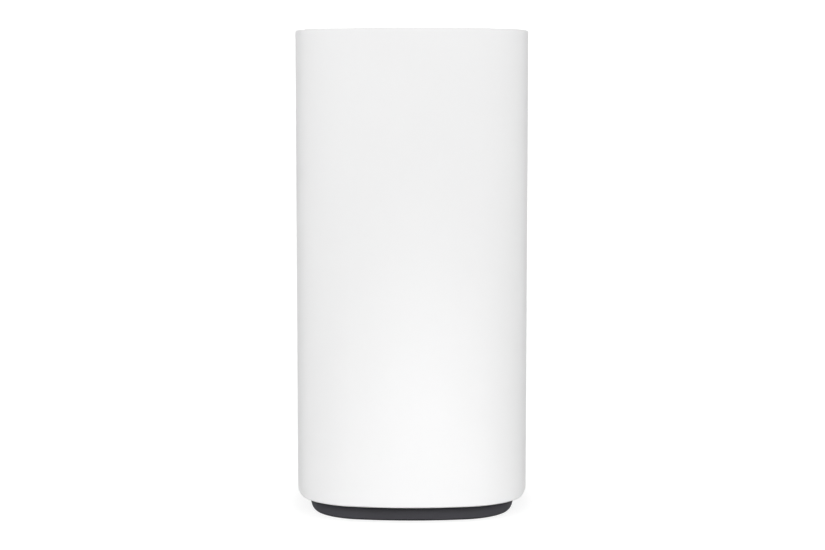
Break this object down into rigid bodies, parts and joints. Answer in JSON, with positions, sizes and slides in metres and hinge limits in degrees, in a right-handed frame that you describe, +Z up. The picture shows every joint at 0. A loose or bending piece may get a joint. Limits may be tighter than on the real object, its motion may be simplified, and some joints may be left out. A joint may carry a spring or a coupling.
{
  "type": "mesh wifi node",
  "caption": "White squircle tower mesh wifi node on a dark inset base, with a recessed rear strip of network jacks, power inlet and rocker.",
  "frame": {"origin": "on the resting plane, under the centre of the tower", "axes": "+Z up along the tower, -Y is the plain front, +Y is the rear face with the connectors"},
  "size_m": [0.088, 0.088, 0.18],
  "materials": {
    "white_shell": "white moulded ABS with a fine spark-eroded texture",
    "white_cap": "white moulded ABS, fine texture",
    "light_lens": "frosted clear polycarbonate",
    "dark_base": "charcoal moulded ABS, fine texture",
    "foot_rubber": "black silicone rubber",
    "label_film": "blank grey film label",
    "dark_panel": "charcoal moulded ABS, fine texture",
    "jack_plastic": "black glass-filled nylon",
    "internet_plastic": "yellow glass-filled nylon",
    "jack_shield": "nickel-plated stamped sheet",
    "gold_contact": "gold-plated wire",
    "black_plastic": "black satin plastic",
    "rocker_plastic": "black satin plastic",
    "button_plastic": "dark grey moulded plastic",
    "nickel_pin": "nickel-plated brass",
    "circuit_board": "green solder mask",
    "chip_package": "black epoxy package",
    "heatsink": "clear-anodised extrusion",
    "thermal_pad": "grey silicone gap filler",
    "shield_can": "tin-plated sheet",
    "antenna_sheet": "stamped copper alloy",
    "coax_jacket": "black fluoropolymer jacket",
    "steel_screw": "zinc-plated steel",
    "capacitor_can": "aluminium can",
    "ferrite": "moulded ferrite",
    "chassis_plastic": "grey moulded ABS"
  },
  "bodies": {
    "housing": {"antenna_lead_left_front": "coax_jacket", "antenna_lead_left_rear": "coax_jacket", "antenna_lead_right_front": "coax_jacket", "antenna_lead_right_rear": "coax_jacket", "antenna_left_front": "antenna_sheet", "antenna_left_rear": "antenna_sheet", "antenna_right_front": "antenna_sheet", "antenna_right_rear": "antenna_sheet", "antenna_sockets": "gold_contact", "base_screws": "steel_screw", "base_tray": "dark_base", "board_screws": "steel_screw", "chassis": "chassis_plastic", "foot_ring": "foot_rubber", "heatsink_main": "heatsink", "heatsink_radio": "heatsink", "heatsink_spacers": "nickel_pin", "inlet_housing": "black_plastic", "inlet_pin": "nickel_pin", "inlet_spring": "nickel_pin", "io_panel": "dark_panel", "jack_contacts_1": "gold_contact", "jack_contacts_2": "gold_contact", "jack_contacts_3": "gold_contact", "jack_contacts_4": "gold_contact", "jack_housing_1": "jack_plastic", "jack_housing_2": "jack_plastic", "jack_housing_3": "jack_plastic", "jack_housing_4": "internet_plastic", "jack_shield_1": "jack_shield", "jack_shield_2": "jack_shield", "jack_shield_3": "jack_shield", "jack_shield_4": "jack_shield", "led_board": "circuit_board", "light_pipe": "light_lens", "line_transformers": "chip_package", "main_board": "circuit_board", "memory_chips": "chip_package", "outer_shell": "white_shell", "pairing_switch": "black_plastic", "power_capacitors": "capacitor_can", "power_inductors": "ferrite", "processor": "chip_package", "radio_shields": "shield_can", "rating_label": "label_film", "reset_switch": "black_plastic", "rocker_housing": "black_plastic", "status_led": "light_lens", "switch_chip": "chip_package", "switch_terminals": "nickel_pin", "thermal_pad_main": "thermal_pad", "thermal_pads_radio": "thermal_pad", "vent_cap": "white_cap"},
    "power_rocker": {"power_rocker": "rocker_plastic"},
    "pairing_button": {"pairing_button": "button_plastic"},
    "reset_button": {"reset_button": "button_plastic"}
  },
  "joints": [
    {"name": "power_rock", "type": "hinge", "parent": "housing", "child": "power_rocker", "pos_m": [0, 0.0388, 0.0385], "axis": [-1, 0, 0], "range_deg": [0, 20]},
    {"name": "pairing_press", "type": "slide", "parent": "housing", "child": "pairing_button", "axis": [0, -1, 0], "range_m": [0, 0.0008], "stiffness_N_per_m": 200, "springref_m": -0.002},
    {"name": "reset_press", "type": "slide", "parent": "housing", "child": "reset_button", "axis": [0, 0, 1], "range_m": [0, 0.0006], "stiffness_N_per_m": 200, "springref_m": -0.002}
  ]
}
